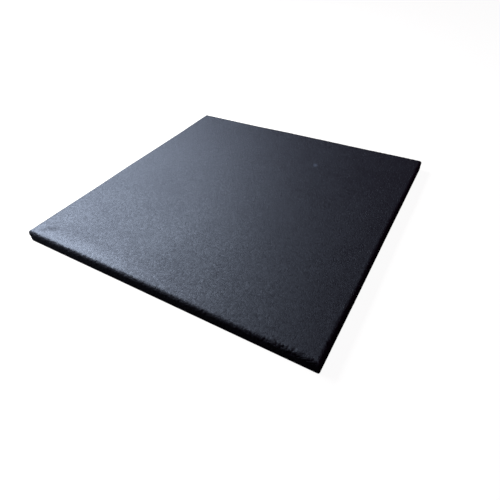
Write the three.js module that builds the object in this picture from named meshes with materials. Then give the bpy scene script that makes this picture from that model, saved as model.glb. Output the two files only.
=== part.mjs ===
// A square rubber floor mat.
// It is one pressed piece of black rubber: four rounded corners, a soft round top edge,
// upright sides, a lightly eased bottom edge and a flat underside.
// Millimetres, +Z up, origin at the centre of the underside, front edge towards -Y.
import * as THREE from "three";

// Driving dimensions
const MAT_WIDTH = 500; // along X
const MAT_DEPTH = 500; // along Y
const MAT_THICKNESS = 20;
const CORNER_RADIUS = 2.5; // of the four upright corners, seen from above
const INNER_CORNER_RADIUS = 1; // of the flat top's corners, inside its round edge
const TOP_EDGE_RADIUS = 6; // of the round edge between the top and the sides
const BOTTOM_EDGE_RADIUS = 0.5; // of the slight easing under the sides

// Facets in a quarter turn of each round edge
const CORNER_FACETS = 10;
const TOP_EDGE_FACETS = 8;
const BOTTOM_EDGE_FACETS = 3;

const rubber = new THREE.MeshStandardMaterial({
  name: "black_rubber",
  color: new THREE.Color(0.02, 0.021, 0.024),
  roughness: 0.5,
  metalness: 0,
});

// The angles of a quarter turn, from 0 to 90 degrees in equal steps.
function quarterTurn(facets) {
  return Array.from({ length: facets + 1 }, (_, i) => ((i / facets) * Math.PI) / 2);
}

// The corner radius of an outline that lies inset inside the side faces.
function cornerRadius(inset) {
  return Math.max(CORNER_RADIUS - inset, INNER_CORNER_RADIUS);
}

// The centres of such an outline's four rounded corners, anticlockwise seen from above.
function cornerCentres(inset) {
  const x = MAT_WIDTH / 2 - inset - cornerRadius(inset);
  const y = MAT_DEPTH / 2 - inset - cornerRadius(inset);
  return [
    [x, y],
    [-x, y],
    [-x, -y],
    [x, -y],
  ];
}

// The mat's outline at one height, inset inside the side faces, as a loop of points that runs
// anticlockwise seen from above.
function outline(inset, height) {
  const radius = cornerRadius(inset);
  return cornerCentres(inset).flatMap(([x, y], corner) =>
    quarterTurn(CORNER_FACETS).map((turn) => {
      const angle = turn + (corner * Math.PI) / 2;
      return new THREE.Vector3(
        x + radius * Math.cos(angle),
        y + radius * Math.sin(angle),
        height,
      );
    }),
  );
}

// The outlines from the underside to the top: round the bottom edge, up the sides, round the top edge.
function outlines() {
  const bottomEdge = quarterTurn(BOTTOM_EDGE_FACETS).map((turn) =>
    outline(
      BOTTOM_EDGE_RADIUS * (1 - Math.sin(turn)),
      BOTTOM_EDGE_RADIUS * (1 - Math.cos(turn)),
    ),
  );
  const topEdge = quarterTurn(TOP_EDGE_FACETS).map((turn) =>
    outline(
      TOP_EDGE_RADIUS * (1 - Math.cos(turn)),
      MAT_THICKNESS - TOP_EDGE_RADIUS * (1 - Math.sin(turn)),
    ),
  );
  return [...bottomEdge, ...topEdge];
}

// The band of faces between each outline and the next one up.
function bandFaces(loopCount, pointsPerLoop) {
  const faces = [];
  for (let loop = 0; loop < loopCount - 1; loop++) {
    for (let i = 0; i < pointsPerLoop; i++) {
      const lower = loop * pointsPerLoop + i;
      const lowerNext = loop * pointsPerLoop + ((i + 1) % pointsPerLoop);
      const upper = lower + pointsPerLoop;
      const upperNext = lowerNext + pointsPerLoop;
      faces.push([lower, lowerNext, upperNext], [lower, upperNext, upper]);
    }
  }
  return faces;
}

// The flat face inside one outline, facing up: a fan round each corner's centre, a strip along each side
// and two large triangles in the middle. The outline's points count from first, the centres from middle.
function capFaces(first, middle) {
  const faces = [
    [middle, middle + 1, middle + 2],
    [middle, middle + 2, middle + 3],
  ];
  for (let corner = 0; corner < 4; corner++) {
    const nextCorner = (corner + 1) % 4;
    const centre = middle + corner;
    const arcStart = first + corner * (CORNER_FACETS + 1);
    const arcEnd = arcStart + CORNER_FACETS;
    const nextArcStart = first + nextCorner * (CORNER_FACETS + 1);
    for (let point = arcStart; point < arcEnd; point++) {
      faces.push([centre, point, point + 1]);
    }
    faces.push([centre, arcEnd, nextArcStart], [centre, nextArcStart, middle + nextCorner]);
  }
  return faces;
}

// The closed skin over a stack of outlines: the bands round it, and a flat face at both ends.
function skinOver(loops) {
  const points = loops.flat();
  const pointsPerLoop = loops[0].length;
  const topLoop = points.length - pointsPerLoop;
  const centresAt = (inset, height) =>
    cornerCentres(inset).map(([x, y]) => new THREE.Vector3(x, y, height));
  const undersideMiddle = points.length;
  points.push(...centresAt(BOTTOM_EDGE_RADIUS, 0));
  const topMiddle = points.length;
  points.push(...centresAt(TOP_EDGE_RADIUS, MAT_THICKNESS));
  const faces = [
    ...bandFaces(loops.length, pointsPerLoop),
    ...capFaces(topLoop, topMiddle),
    ...capFaces(0, undersideMiddle).map(([a, b, c]) => [a, c, b]),
  ];
  const skin = new THREE.BufferGeometry().setFromPoints(points);
  skin.setIndex(faces.flat());
  skin.computeVertexNormals();
  return skin;
}

const mat = new THREE.Mesh(skinOver(outlines()), rubber);
mat.name = "rubber_mat";

const part = new THREE.Group();
part.add(mat);

export default part;
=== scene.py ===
# A square mat of pressed black rubber on a pale floor, lit by one large window on its left.
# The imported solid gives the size. The surface made here adds the swell, the crumb, the chips and the marks.
import math
import bpy
import numpy as np
from mathutils import Matrix, Vector


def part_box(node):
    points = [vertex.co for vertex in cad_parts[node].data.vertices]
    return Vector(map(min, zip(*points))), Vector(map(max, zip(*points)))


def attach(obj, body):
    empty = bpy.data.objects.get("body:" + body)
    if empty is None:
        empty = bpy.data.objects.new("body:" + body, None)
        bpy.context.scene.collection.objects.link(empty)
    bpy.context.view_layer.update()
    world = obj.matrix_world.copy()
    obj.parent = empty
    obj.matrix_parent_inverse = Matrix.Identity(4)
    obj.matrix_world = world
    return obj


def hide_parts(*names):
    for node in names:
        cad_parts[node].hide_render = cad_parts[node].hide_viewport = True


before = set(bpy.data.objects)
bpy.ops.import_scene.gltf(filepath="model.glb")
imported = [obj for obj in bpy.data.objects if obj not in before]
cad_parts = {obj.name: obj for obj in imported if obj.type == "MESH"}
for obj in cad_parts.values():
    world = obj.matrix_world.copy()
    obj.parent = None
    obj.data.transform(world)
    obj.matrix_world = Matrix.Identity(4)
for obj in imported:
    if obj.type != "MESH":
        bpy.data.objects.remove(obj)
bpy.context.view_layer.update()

MM = 0.001
SIDES = 4
UP = np.array([0, 0, 1.0])

# The mat's size, from its solid, and the edges that the solid was made with
mat_low, mat_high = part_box("rubber_mat")
HALF_WIDTH = (mat_high[0] - mat_low[0]) / 2
THICKNESS = mat_high[2] - mat_low[2]
CORNER_RADIUS = 2.5 * MM  # of the four upright corners, seen from above
INNER_CORNER_RADIUS = 1 * MM  # of the flat top's corners, inside its round edge
TOP_EDGE_RADIUS = 6 * MM
BOTTOM_EDGE_RADIUS = 0.5 * MM

# How finely the surface is divided
FINE_COLUMNS = 512  # along each side, on the sides and the rounded edges
TOP_CELLS = 128  # along each side of the flat top
UNDERSIDE_CELLS = 32
SIDE_ROWS = 12
TOP_EDGE_ROWS = 12
BOTTOM_EDGE_ROWS = 3
TOP_BORDER = np.array([6.7, 7.7, 9, 10.5, 12]) * MM  # insets of the fine loops that lie on the flat top
UNDERSIDE_BORDER = np.array([9, 5, 2.5]) * MM  # and of those that lie on the underside
COARSE_INSET = 14 * MM  # where the coarser flat faces begin

# The plane waves that a smooth random height is made of
WAVE_COUNT = 40
SHORTEST_WAVE = 0.7  # of the length that is asked for
LONGEST_WAVE = 1.5

# How far the pressed surface departs from a true slab
TOP_SWELL = 0.10 * MM
TOP_SWELL_LENGTH = 130 * MM
TOP_SWELL_SEED = 12
SIDE_SWELL = 0.22 * MM
SIDE_SWELL_LENGTH = 150 * MM
SIDE_SWELL_SEED = 11
SIDE_SWELL_UPWARDS = 0.3  # how much of the height counts in it, so that it changes more slowly up the side
CRUMB_RELIEF = 0.12 * MM
CRUMB_LENGTH = 5 * MM
CRUMB_SEED = 13
RELIEF_RISE = 3 * MM  # how far up the sides their swell and crumb come in

# The chips along the top edge
CHIP_DEPTH = 1.3 * MM
CHIP_LENGTH = 5.0 * MM
CHIP_SEED = 14
CHIP_THRESHOLD = 0.2
CHIP_LIMIT = 2.0  # the most that counts past the threshold
CHIP_FADE = 3.5 * MM  # how far a chip draws the flat top in with it
CHIP_FREE_TIP = 4 * MM  # how far from a corner's tip the chips begin
CHIP_TIP_FADE = 9 * MM  # and over what length they come in
CHIPPED_CORNER = np.array([1, -1]) * HALF_WIDTH  # the front right one, where the chips are deepest
CHIPPED_REACH = 70 * MM
CHIPS_ELSEWHERE = 0.15  # of the depth at that corner

# The rubber's grain. Depths are in millimetres, as the crumb's height is.
CRUMB_SIZE = 2.6 * MM
CROOK_SIZE = 2 * CRUMB_SIZE  # of the lumps in the noise that makes the crumbs' outlines crooked
CROOK_DETAIL = 1.0
SEAM_SHARE = 0.12  # of a crumb's size
SEAM_DEPTH = 0.05
FACET_SLOPE = 0.06
GRIT_SIZE = 0.5 * MM
GRIT_DETAIL = 2.0
GRIT_DEPTH = 0.036
SIDE_DEPTH = 2.0  # how much deeper the grain is on the sides

# The rubber's clouding
CLOUD_SIZE = 60 * MM
CLOUD_DETAIL = 4.0
CLOUD_RAGGEDNESS = 0.6
CLOUD_START = 0.28  # the noise's value where a cloud begins
CLOUD_FULL = 0.72  # and where it is full

# The rubber's colour and roughness, and what its marks and patches add to the roughness
MIDDLE = 0.5  # of a value that runs from 0 to 1
RUBBER_DARK = (0.0055, 0.0057, 0.0068, 1)
RUBBER_PALE = (0.0092, 0.0096, 0.0115, 1)
SPECK_COLOUR = (0.044, 0.050, 0.059, 1)
ROUGHNESS = 0.56
CLOUD_ROUGHNESS = 0.05
CRUMB_ROUGHNESS = 0.14
DULL_ROUGHNESS = 0.04
RUBBED_ROUGHNESS = -0.10
SMUDGE_ROUGHNESS = 0.20

# The marks on the top, each an oval. A mark fades from its inner rim to its outer one.
INNER_RIM = 0.35  # of its half size
OUTER_RIM = 1.25
RIM_LUMPS = 2.5  # to each half size
RIM_DETAIL = 2.0
UNEVENNESS = 0.5  # how far the lumps draw the rim in at most, in half sizes
DULL_MIDDLE = Vector((-150, -60, 20)) * MM
DULL_HALF_SIZE = Vector((170, 130, 40)) * MM
RUBBED_MIDDLE = Vector((-190, -240, 20)) * MM
RUBBED_HALF_SIZE = Vector((290, 22, 10)) * MM
SMUDGE_MIDDLE = Vector((-221, -230, 20)) * MM
SMUDGE_HALF_SIZE = Vector((29, 10, 9)) * MM
SMUDGE_TURN = math.radians(28)
SMUDGE_UNEVENNESS = 0.7
SPECK_MIDDLE = Vector((76.8, 142.9, 20)) * MM
SPECK_HALF_SIZE = Vector((6, 9, 6)) * MM
SPECK_TURN = math.radians(30)

# The floor and the room are pale to the eye but dim in the rubber's reflections, as around the real mat
FLOOR_REACH = 20.0  # metres each way
FLOOR_GAP = 0.2 * MM  # under the mat
FLOOR_PALE = (0.200, 0.172, 0.133, 1)  # warm, to even out the cool window
FLOOR_GLOW = 0.95
FLOOR_DARK = (0.02, 0.02, 0.02, 1)
ROOM_PALE = (0.95, 0.95, 0.95, 1)
ROOM_DARK = (0.045, 0.014, 0.044, 1)

# The window, in metres and degrees. It leans over so far that it looks down.
WINDOW_PLACE = (-1.41, 0.07, 0.77)
WINDOW_BEARING = 90  # of its back, from +Y towards -X
WINDOW_ELEVATION = 102  # of its back, above the floor
WINDOW_WIDTH = 1.04
WINDOW_HEIGHT = 2.22
WINDOW_RADIANCE = 15.3
WINDOW_COLOUR = (0.66, 0.77, 0.975)

# The camera, in metres, fitted to the mat's edges in the photograph
CAMERA_PLACE = Vector((0.3111, -0.4829, 0.3988))
CAMERA_AIM = Vector((0.0820, -0.1145, 0.010))
CAMERA_ROLL = 2.69  # degrees, the right side of the picture turned down
CAMERA_NEAREST = 0.01
CAMERA_FARTHEST = 100
LENS = 28.05  # in millimetres, as is the sensor's width
SENSOR = 36.0

# The numbers of a Mix node's colour sockets, which share their names with its other sockets
MIX_SHARE = 0
MIX_FIRST = 6
MIX_SECOND = 7
MIX_RESULT = 2


def waves(points, length, seed):
    """A smooth random height at each point, with a mean of 0 and a spread of 1.

    It is the sum of cosines cos(k . p + a) over seeded plane waves, each k of a random direction and a
    length near 2 pi over the given one, and each a of a random phase, times the root of 2 over their number.
    """
    random = np.random.default_rng(seed)
    directions = random.normal(size=(WAVE_COUNT, 3))
    directions /= np.linalg.norm(directions, axis=1, keepdims=True)
    lengths = length * random.uniform(SHORTEST_WAVE, LONGEST_WAVE, WAVE_COUNT)
    phases = random.uniform(0, 2 * math.pi, WAVE_COUNT)
    angles = points @ (2 * math.pi * directions / lengths[:, None]).T + phases
    return np.cos(angles).sum(axis=-1) * math.sqrt(2 / WAVE_COUNT)


def falling_off(distance, reach):
    """A share that falls from 1 towards 0 with the distance: exp(-(distance / reach)^2)."""
    return np.exp(-((distance / reach) ** 2))


def rounded_loops(inset, height):
    """Loops round the mat, one for each inset and height, and the directions that they face in plan.

    The distance l along a side runs from -L/2 to L/2, where L = 2 (a - r) + r pi / 2. Here a is the half
    width less the inset, and r the corner radius less the inset, or the inner radius if that is more. Up to
    |l| = a - r the point is (l, -a) and faces (0, -1). Past that it turns by f = (|l| - (a - r)) / r about
    the corner's centre and faces (sin f, -cos f), with the sign of l on the sine. The other three sides are
    the first one after quarter turns about Z.
    """
    half = HALF_WIDTH - inset[:, None]
    radius = np.maximum(CORNER_RADIUS - inset[:, None], INNER_CORNER_RADIUS)
    straight = half - radius
    length = 2 * straight + radius * math.pi / 2
    along = np.linspace(-0.5, 0.5, FINE_COLUMNS, endpoint=False)[None, :] * length
    turn = np.clip((np.abs(along) - straight) / radius, 0, math.pi / 4)
    facing_x = np.sign(along) * np.sin(turn)
    facing_y = -np.cos(turn)
    x = np.clip(along, -straight, straight) + radius * facing_x
    y = -straight + radius * facing_y
    z = height[:, None] + 0 * x
    loops = []
    facings = []
    for quarter in range(SIDES):
        cos = round(math.cos(quarter * math.pi / 2))
        sin = round(math.sin(quarter * math.pi / 2))
        loops.append(np.stack([cos * x - sin * y, sin * x + cos * y, z], axis=-1))
        facings.append(np.stack([cos * facing_x - sin * facing_y, sin * facing_x + cos * facing_y], axis=-1))
    return np.concatenate(loops, axis=1), np.concatenate(facings, axis=1)


def profile():
    """The rows of the mat's edge, from the underside up the sides to the top.

    The four arrays give each row's inset, its height, and how much it faces outwards and up. A rounded edge
    of radius r is a quarter turn by t. At the bottom the inset is r (1 - sin t), the height r (1 - cos t),
    and the row faces sin t outwards and -cos t up. At the top the inset is r (1 - cos t), the height r sin t
    above the side, and the row faces cos t outwards and sin t up. Flat rows face straight down, out or up.
    """
    quarter_bottom = np.linspace(0, math.pi / 2, BOTTOM_EDGE_ROWS + 1)
    quarter_top = np.linspace(0, math.pi / 2, TOP_EDGE_ROWS + 1)
    side_top = THICKNESS - TOP_EDGE_RADIUS
    side = np.linspace(BOTTOM_EDGE_RADIUS, side_top, SIDE_ROWS + 1)[1:-1]
    stretches = [
        (UNDERSIDE_BORDER, 0, 0, -1),
        (
            BOTTOM_EDGE_RADIUS * (1 - np.sin(quarter_bottom)),
            BOTTOM_EDGE_RADIUS * (1 - np.cos(quarter_bottom)),
            np.sin(quarter_bottom),
            -np.cos(quarter_bottom),
        ),
        (0, side, 1, 0),
        (
            TOP_EDGE_RADIUS * (1 - np.cos(quarter_top)),
            side_top + TOP_EDGE_RADIUS * np.sin(quarter_top),
            np.cos(quarter_top),
            np.sin(quarter_top),
        ),
        (TOP_BORDER, THICKNESS, 0, 1),
    ]
    by_stretch = [np.broadcast_arrays(*stretch) for stretch in stretches]
    return [np.concatenate(parts) for parts in zip(*by_stretch)]


def flat_grid(cells, height):
    """The square grid of points (x, y, height) that lies inside the coarse inset."""
    reach = np.linspace(-1, 1, cells + 1) * (HALF_WIDTH - COARSE_INSET)
    x, y = np.meshgrid(reach, reach)
    return np.stack([x, y, 0 * x + height], axis=-1).reshape(-1, 3)


def grid_numbers(cells):
    """The numbers of a square grid's points, row by row towards +Y."""
    return np.arange((cells + 1) ** 2).reshape(cells + 1, cells + 1)


def grid_quads(cells):
    """Each cell of a square grid as a face that looks up."""
    index = grid_numbers(cells)
    return np.stack([index[:-1, :-1], index[:-1, 1:], index[1:, 1:], index[1:, :-1]], axis=-1).reshape(-1, 4)


def grid_rim(cells):
    """The points round a square grid, from its front left corner along the front and on anticlockwise."""
    index = grid_numbers(cells)
    return np.concatenate([index[0, :-1], index[:-1, -1], index[-1, :0:-1], index[:0:-1, 0]])


def seam_triangles(fine, coarse):
    """The strip between a fine loop and the coarse loop inside it, both anticlockwise and facing up.

    Each coarse step from c to the next d spans the same number of fine steps. The first half of them fan
    to c, the rest to d, and one triangle joins c and d to the fine point at the middle.
    """
    ratio = len(fine) // len(coarse)
    steps = np.arange(len(fine))
    first = steps // ratio
    owner = coarse[(first + (steps % ratio >= ratio // 2)) % len(coarse)]
    fans = np.stack([fine, np.roll(fine, -1), owner], axis=-1)
    middle = fine[np.arange(len(coarse)) * ratio + ratio // 2]
    joins = np.stack([coarse, middle, np.roll(coarse, -1)], axis=-1)
    return np.concatenate([fans, joins])


def chipped_in(loops, facing_in_plan, inset, height):
    """The loops' points after the chips have set them back, level and towards the middle.

    A chip is as deep as a random height passes a threshold, up to a limit. The height is read on the true
    side straight outwards of the point, so no chip folds over itself. Its depth is multiplied by four
    shares: one that rises from 0 to 1 up the side over one edge radius, one that falls off over the flat
    top, one that rises from 0 to 1 away from the corners' tips, and one that falls off from the chipped
    corner.
    """
    outwards = np.concatenate([facing_in_plan, 0 * loops[..., :1]], axis=-1)
    on_side = loops + inset[:, None, None] * outwards
    chips = CHIP_DEPTH * np.clip(waves(on_side, CHIP_LENGTH, CHIP_SEED) - CHIP_THRESHOLD, 0, CHIP_LIMIT)
    up_the_side = np.clip((height - (THICKNESS - 2 * TOP_EDGE_RADIUS)) / TOP_EDGE_RADIUS, 0, 1)
    over_the_top = falling_off(np.clip(inset - TOP_EDGE_RADIUS, 0, None), CHIP_FADE)
    from_tip = HALF_WIDTH - np.abs(on_side[..., :2]).min(axis=-1)
    off_the_tip = np.clip((from_tip - CHIP_FREE_TIP) / CHIP_TIP_FADE, 0, 1)
    from_corner = np.linalg.norm(on_side[..., :2] - CHIPPED_CORNER, axis=-1)
    chipped = CHIPS_ELSEWHERE + (1 - CHIPS_ELSEWHERE) * falling_off(from_corner, CHIPPED_REACH)
    set_back = chips * (up_the_side * over_the_top)[:, None] * off_the_tip * chipped
    return loops - set_back[..., None] * outwards


def pressed(points, true_points, facing, on_top, on_side):
    """Moves points to where the pressed rubber lies.

    Along its facing each point moves by a slow swell and, on the sides, by the crumb's relief, both read at
    its place on the true slab. Nothing goes below the floor.
    """
    slower_upwards = true_points * [1, 1, SIDE_SWELL_UPWARDS]
    side_swell = SIDE_SWELL * waves(slower_upwards, SIDE_SWELL_LENGTH, SIDE_SWELL_SEED)
    in_plan = true_points * [1, 1, 0]
    top_swell = TOP_SWELL * waves(in_plan, TOP_SWELL_LENGTH, TOP_SWELL_SEED)
    crumb = CRUMB_RELIEF * waves(true_points, CRUMB_LENGTH, CRUMB_SEED)
    moved = on_side * (side_swell + crumb) + on_top * top_swell
    lying = points + facing * moved[:, None]
    lying[:, 2] = np.maximum(lying[:, 2], 0)
    return lying


def end_to_end(*grids):
    """Grids of points or directions as one list, in the order given."""
    return np.concatenate([grid.reshape(-1, 3) for grid in grids])


def mat_points():
    """All points of the mat: the rows of fine loops, then the flat top, then the flat underside.

    With them come each point's share of the side, from 0 to 1, and the number of rows. The share is how much
    the point faces outwards, and it comes in over the lowest stretch of the side.
    """
    inset, height, outwards, upwards = profile()
    loops, facing_in_plan = rounded_loops(inset, height)
    chipped_loops = chipped_in(loops, facing_in_plan, inset, height)
    top = flat_grid(TOP_CELLS, THICKNESS)
    underside = flat_grid(UNDERSIDE_CELLS, 0)

    facing_up = 0 * loops[..., :1] + upwards[:, None, None]
    facing = np.concatenate([facing_in_plan * outwards[:, None, None], facing_up], axis=-1)
    facings = end_to_end(facing, 0 * top + UP, 0 * underside - UP)
    on_top = np.clip(facings[:, 2], 0, 1)
    side_share = outwards * np.clip(height / RELIEF_RISE, 0, 1)
    flat_share = np.zeros(len(top) + len(underside))
    on_side = np.concatenate([np.repeat(side_share, SIDES * FINE_COLUMNS), flat_share])

    true_points = end_to_end(loops, top, underside)
    points = end_to_end(chipped_loops, top, underside)
    return pressed(points, true_points, facings, on_top, on_side), on_side, len(loops)


def mat_faces(rows):
    """All faces of the mat, over its points in their order: the quads, then the triangles.

    Quads join each row's loop to the next one up, and fill the flat faces. Triangles join the first loop and
    the last one to the flat faces inside them.
    """
    index = np.arange(rows * SIDES * FINE_COLUMNS).reshape(rows, -1)
    after = np.roll(index, -1, axis=1)
    bands = np.stack([index[:-1], after[:-1], after[1:], index[1:]], axis=-1).reshape(-1, 4)
    first_top = index.size
    first_underside = first_top + grid_numbers(TOP_CELLS).size
    top = grid_quads(TOP_CELLS) + first_top
    underside = grid_quads(UNDERSIDE_CELLS)[:, ::-1] + first_underside
    top_seam = seam_triangles(index[-1], grid_rim(TOP_CELLS) + first_top)
    underside_seam = seam_triangles(index[0], grid_rim(UNDERSIDE_CELLS) + first_underside)[:, ::-1]
    return np.concatenate([bands, top, underside]), np.concatenate([top_seam, underside_seam])


def mesh_object(name, points, quads, triangles):
    """A smooth-shaded object whose mesh has these points and faces."""
    mesh = bpy.data.meshes.new(name)
    corners = np.concatenate([quads.ravel(), triangles.ravel()])
    quad_starts = np.arange(len(quads)) * 4
    triangle_starts = quads.size + np.arange(len(triangles)) * 3
    starts = np.concatenate([quad_starts, triangle_starts])
    mesh.vertices.add(len(points))
    mesh.loops.add(len(corners))
    mesh.polygons.add(len(starts))
    mesh.vertices.foreach_set("co", points.astype(np.float32).ravel())
    mesh.loops.foreach_set("vertex_index", corners.astype(np.int32))
    mesh.polygons.foreach_set("loop_start", starts.astype(np.int32))
    mesh.polygons.foreach_set("use_smooth", np.ones(len(starts), dtype=bool))
    mesh.update(calc_edges=True)
    mesh.validate()
    piece = bpy.data.objects.new(name, mesh)
    bpy.context.scene.collection.objects.link(piece)
    return piece


def point_attribute(piece, name, values):
    """Stores one number for each point, for the material to read."""
    attribute = piece.data.attributes.new(name, "FLOAT", "POINT")
    attribute.data.foreach_set("value", values.astype(np.float32))


def node_group(name, inputs, outputs):
    """An empty shader node group, with what its inputs give and its outputs take.

    The sockets are named here: inputs as name: (socket type, value), outputs as name: socket type.
    """
    group = bpy.data.node_groups.new(name, "ShaderNodeTree")
    for socket_name, (kind, value) in inputs.items():
        socket = group.interface.new_socket(socket_name, in_out="INPUT", socket_type=kind)
        if value is not None:
            socket.default_value = value
    for socket_name, kind in outputs.items():
        group.interface.new_socket(socket_name, in_out="OUTPUT", socket_type=kind)
    return group, group.nodes.new("NodeGroupInput").outputs, group.nodes.new("NodeGroupOutput").inputs


def put(tree, kind, inputs=None, **settings):
    """Adds a node with these settings to the tree, and links or fills its inputs, by name or number."""
    node = tree.nodes.new(kind)
    for name, value in settings.items():
        setattr(node, name, value)
    for key, value in (inputs or {}).items():
        if isinstance(value, bpy.types.NodeSocket):
            tree.links.new(value, node.inputs[key])
        else:
            node.inputs[key].default_value = value
    return node


def number(tree, operation, *terms):
    """The output of a Math node."""
    return put(tree, "ShaderNodeMath", dict(enumerate(terms)), operation=operation).outputs[0]


def vector(tree, operation, *terms):
    """The vector that a Vector Math node puts out."""
    return put(tree, "ShaderNodeVectorMath", dict(enumerate(terms)), operation=operation).outputs["Vector"]


def measure(tree, operation, *terms):
    """The number that a Vector Math node puts out, such as a length or a dot product."""
    return put(tree, "ShaderNodeVectorMath", dict(enumerate(terms)), operation=operation).outputs["Value"]


def ramp(tree, value, low, high, to_low=0.0, to_high=1.0):
    """The value carried from low..high to to_low..to_high along an S curve, and held at its ends."""
    inputs = dict(enumerate((value, low, high, to_low, to_high)))
    return put(tree, "ShaderNodeMapRange", inputs, interpolation_type="SMOOTHSTEP").outputs[0]


def blended(tree, share, first, second):
    """The colour between two, by a share from 0 to 1."""
    inputs = {MIX_SHARE: share, MIX_FIRST: first, MIX_SECOND: second}
    return put(tree, "ShaderNodeMix", inputs, data_type="RGBA").outputs[MIX_RESULT]


def grouped(tree, group, place, **values):
    """The outputs of a node that uses the group at this place, with these values on its other inputs."""
    return put(tree, "ShaderNodeGroup", {"Place": place, **values}, node_tree=group).outputs


def pressed_crumb():
    """Rubber crumb pressed flat: facets that tilt a little each its own way, with shallow seams between.

    Height is in millimetres. It is a seam's rise from a crumb's border, plus the dot product of the way from
    the crumb's middle and its own random lean, plus fine grit. Shade and Gloss are random from 0 to 1, the
    same all over one crumb.
    """
    group, given, out = node_group(
        "pressed_crumb",
        {"Place": ("NodeSocketVector", None), "Crumbs per Metre": ("NodeSocketFloat", 1 / CRUMB_SIZE)},
        {"Height": "NodeSocketFloat", "Shade": "NodeSocketFloat", "Gloss": "NodeSocketFloat"},
    )
    place = given["Place"]
    crook = {"Vector": place, "Scale": 1 / CROOK_SIZE, "Detail": CROOK_DETAIL}
    wander = put(group, "ShaderNodeTexNoise", crook).outputs["Color"]
    sideways = vector(group, "SUBTRACT", wander, (MIDDLE,) * 3)
    crooked = vector(group, "MULTIPLY_ADD", sideways, (CRUMB_SIZE,) * 3, place)

    crumbs = {"Vector": crooked, "Scale": given["Crumbs per Metre"]}
    cells = put(group, "ShaderNodeTexVoronoi", crumbs)
    borders = put(group, "ShaderNodeTexVoronoi", crumbs, feature="DISTANCE_TO_EDGE")
    seam = number(group, "MULTIPLY", ramp(group, borders.outputs["Distance"], 0.0, SEAM_SHARE), SEAM_DEPTH)

    from_middle = vector(group, "SUBTRACT", crooked, cells.outputs["Position"])
    lean = vector(group, "SUBTRACT", cells.outputs["Color"], (MIDDLE,) * 3)  # from -0.5 to 0.5 each way
    tilt = number(group, "MULTIPLY", measure(group, "DOT_PRODUCT", from_middle, lean), 2 * FACET_SLOPE / MM)

    grit = put(group, "ShaderNodeTexNoise", {"Vector": place, "Scale": 1 / GRIT_SIZE, "Detail": GRIT_DETAIL})
    rough = number(group, "MULTIPLY", grit.outputs[0], GRIT_DEPTH)
    group.links.new(number(group, "ADD", number(group, "ADD", seam, tilt), rough), out["Height"])
    random = put(group, "ShaderNodeSeparateColor", {0: cells.outputs["Color"]}).outputs
    group.links.new(random["Red"], out["Shade"])
    group.links.new(random["Blue"], out["Gloss"])
    return group


def clouding():
    """Soft cloudy patches from 0 to 1, broad ones with smaller ones inside them."""
    group, given, out = node_group(
        "clouding",
        {"Place": ("NodeSocketVector", None), "Patches per Metre": ("NodeSocketFloat", 1 / CLOUD_SIZE)},
        {"Cloud": "NodeSocketFloat"},
    )
    patches = {"Vector": given["Place"], "Scale": given["Patches per Metre"], "Detail": CLOUD_DETAIL}
    noise = put(group, "ShaderNodeTexNoise", {**patches, "Roughness": CLOUD_RAGGEDNESS})
    group.links.new(ramp(group, noise.outputs[0], CLOUD_START, CLOUD_FULL), out["Cloud"])
    return group


def mark():
    """An oval mark, 1 in its middle and 0 outside, with an uneven rim.

    Place is measured from the mark's middle, in its half sizes. Noise times the unevenness is added to the
    distance from the middle, and the mark fades as the sum goes from the inner rim to the outer one.
    """
    group, given, out = node_group(
        "mark",
        {"Place": ("NodeSocketVector", None), "Unevenness": ("NodeSocketFloat", UNEVENNESS)},
        {"Mark": "NodeSocketFloat"},
    )
    distance = measure(group, "LENGTH", given["Place"])
    lumps = {"Vector": given["Place"], "Scale": RIM_LUMPS, "Detail": RIM_DETAIL}
    noise = put(group, "ShaderNodeTexNoise", lumps)
    uneven = number(group, "MULTIPLY_ADD", noise.outputs[0], given["Unevenness"], distance)
    group.links.new(ramp(group, uneven, INNER_RIM, OUTER_RIM, 1.0, 0.0), out["Mark"])
    return group


CRUMB = pressed_crumb()
CLOUD = clouding()
MARK = mark()


def oval(tree, place, middle, half_size, turn=0, unevenness=UNEVENNESS):
    """The mask of one mark at its own middle, stretched to its half sizes and turned about Z."""
    inputs = {"Vector": place, "Location": middle, "Rotation": (0, 0, turn), "Scale": half_size}
    inside = put(tree, "ShaderNodeMapping", inputs, vector_type="TEXTURE").outputs[0]
    return grouped(tree, MARK, inside, Unevenness=unevenness)["Mark"]


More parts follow.
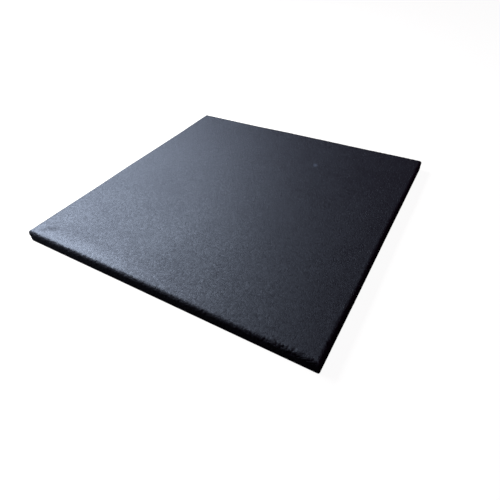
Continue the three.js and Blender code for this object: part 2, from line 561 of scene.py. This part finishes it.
def black_rubber():
    """Black pressed rubber: a satin skin of fine crumb with faint clouds.

    It is duller over its middle left and shinier along a rubbed strip, with one smudge and one pale speck.
    """
    material = bpy.data.materials.new("black_rubber")
    material.use_nodes = True
    tree = material.node_tree
    skin = tree.nodes["Principled BSDF"]
    place = tree.nodes.new("ShaderNodeTexCoord").outputs["Object"]
    crumb = grouped(tree, CRUMB, place)
    cloud = grouped(tree, CLOUD, place)["Cloud"]
    side = put(tree, "ShaderNodeAttribute", attribute_name="side").outputs["Fac"]
    dull = oval(tree, place, DULL_MIDDLE, DULL_HALF_SIZE)
    rubbed = oval(tree, place, RUBBED_MIDDLE, RUBBED_HALF_SIZE)
    smudge = oval(tree, place, SMUDGE_MIDDLE, SMUDGE_HALF_SIZE, SMUDGE_TURN, SMUDGE_UNEVENNESS)
    speck = oval(tree, place, SPECK_MIDDLE, SPECK_HALF_SIZE, SPECK_TURN)

    tone = number(tree, "DIVIDE", number(tree, "ADD", crumb["Shade"], cloud), 2)
    rubber = blended(tree, tone, RUBBER_DARK, RUBBER_PALE)
    tree.links.new(blended(tree, speck, rubber, SPECK_COLOUR), skin.inputs["Base Color"])

    roughness = ROUGHNESS
    for mask, weight in (
        (number(tree, "SUBTRACT", cloud, MIDDLE), CLOUD_ROUGHNESS),
        (number(tree, "SUBTRACT", crumb["Gloss"], MIDDLE), CRUMB_ROUGHNESS),
        (dull, DULL_ROUGHNESS),
        (rubbed, RUBBED_ROUGHNESS),
        (smudge, SMUDGE_ROUGHNESS),
    ):
        roughness = number(tree, "MULTIPLY_ADD", mask, weight, roughness)
    tree.links.new(roughness, skin.inputs["Roughness"])

    depth = number(tree, "MULTIPLY_ADD", side, SIDE_DEPTH - 1, 1.0)
    height = number(tree, "MULTIPLY", crumb["Height"], depth)
    bump = put(tree, "ShaderNodeBump", {"Strength": 1.0, "Distance": MM, "Height": height})
    tree.links.new(bump.outputs[0], skin.inputs["Normal"])
    return material


def build_mat():
    """The mat's dressed surface, in place of its plain solid."""
    points, on_side, rows = mat_points()
    mat = mesh_object("rubber_mat_skin", points, *mat_faces(rows))
    point_attribute(mat, "side", on_side)
    mat.data.materials.append(black_rubber())
    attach(mat, "root")
    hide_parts("rubber_mat")


def seen_or_felt(tree, output, seen, felt):
    """Shows one shader to the eye, and lights and mirrors with the other."""
    by_eye = tree.nodes.new("ShaderNodeLightPath").outputs["Is Camera Ray"]
    both = put(tree, "ShaderNodeMixShader", {0: by_eye, 1: felt.outputs[0], 2: seen.outputs[0]})
    tree.links.new(both.outputs[0], output.inputs["Surface"])


def build_floor():
    """A plain floor just under the mat."""
    corners = np.array([(-1, -1, 0), (1, -1, 0), (1, 1, 0), (-1, 1, 0)]) * FLOOR_REACH - FLOOR_GAP * UP
    floor = mesh_object("floor", corners, np.array([[0, 1, 2, 3]]), np.empty((0, 3), dtype=int))
    material = bpy.data.materials.new("pale_floor")
    material.use_nodes = True
    tree = material.node_tree
    tree.nodes.remove(tree.nodes["Principled BSDF"])
    lit = put(tree, "ShaderNodeBsdfDiffuse", {"Color": FLOOR_PALE})
    glow = put(tree, "ShaderNodeEmission", {"Strength": FLOOR_GLOW})
    pale = put(tree, "ShaderNodeAddShader", {0: lit.outputs[0], 1: glow.outputs[0]})
    dark = put(tree, "ShaderNodeBsdfDiffuse", {"Color": FLOOR_DARK})
    seen_or_felt(tree, tree.nodes["Material Output"], pale, dark)
    floor.data.materials.append(material)


def build_room():
    """A plain pale room all round."""
    world = bpy.data.worlds.new("room")
    bpy.context.scene.world = world
    world.use_nodes = True
    tree = world.node_tree
    pale = put(tree, "ShaderNodeBackground", {"Color": ROOM_PALE})
    dim = put(tree, "ShaderNodeBackground", {"Color": ROOM_DARK})
    seen_or_felt(tree, tree.nodes["World Output"], pale, dim)


def build_window():
    """A large cool soft light on the left. Its power is its radiance times pi times its area.

    Its back looks along (-sin b cos e, cos b cos e, sin e), where b is its bearing and e its elevation.
    """
    bearing = math.radians(WINDOW_BEARING)
    elevation = math.radians(WINDOW_ELEVATION)
    level = math.cos(elevation)
    back = Vector((-math.sin(bearing) * level, math.cos(bearing) * level, math.sin(elevation)))
    lamp = bpy.data.lights.new("window", "AREA")
    lamp.shape = "RECTANGLE"
    lamp.size = WINDOW_WIDTH
    lamp.size_y = WINDOW_HEIGHT
    lamp.energy = WINDOW_RADIANCE * math.pi * WINDOW_WIDTH * WINDOW_HEIGHT
    lamp.color = WINDOW_COLOUR
    window = bpy.data.objects.new("window", lamp)
    window.location = WINDOW_PLACE
    window.rotation_euler = back.to_track_quat("Z", "Y").to_euler()
    window.visible_camera = False
    bpy.context.scene.collection.objects.link(window)


def build_camera():
    """The camera, at the photograph's viewing angle."""
    data = bpy.data.cameras.new("camera")
    data.lens = LENS
    data.sensor_width = SENSOR
    data.clip_start = CAMERA_NEAREST
    data.clip_end = CAMERA_FARTHEST
    camera = bpy.data.objects.new("camera", data)
    level = (CAMERA_PLACE - CAMERA_AIM).to_track_quat("Z", "Y").to_matrix()
    turned = level @ Matrix.Rotation(-math.radians(CAMERA_ROLL), 3, "Z")
    camera.matrix_world = Matrix.Translation(CAMERA_PLACE) @ turned.to_4x4()
    bpy.context.scene.collection.objects.link(camera)
    bpy.context.scene.camera = camera


def show_true_colours():
    """Colours as they are, with no film curve, so that the floor stays white."""
    settings = bpy.context.scene.view_settings
    settings.view_transform = "Standard"
    settings.look = "None"


build_camera()
build_mat()
build_floor()
build_room()
build_window()
show_true_colours()
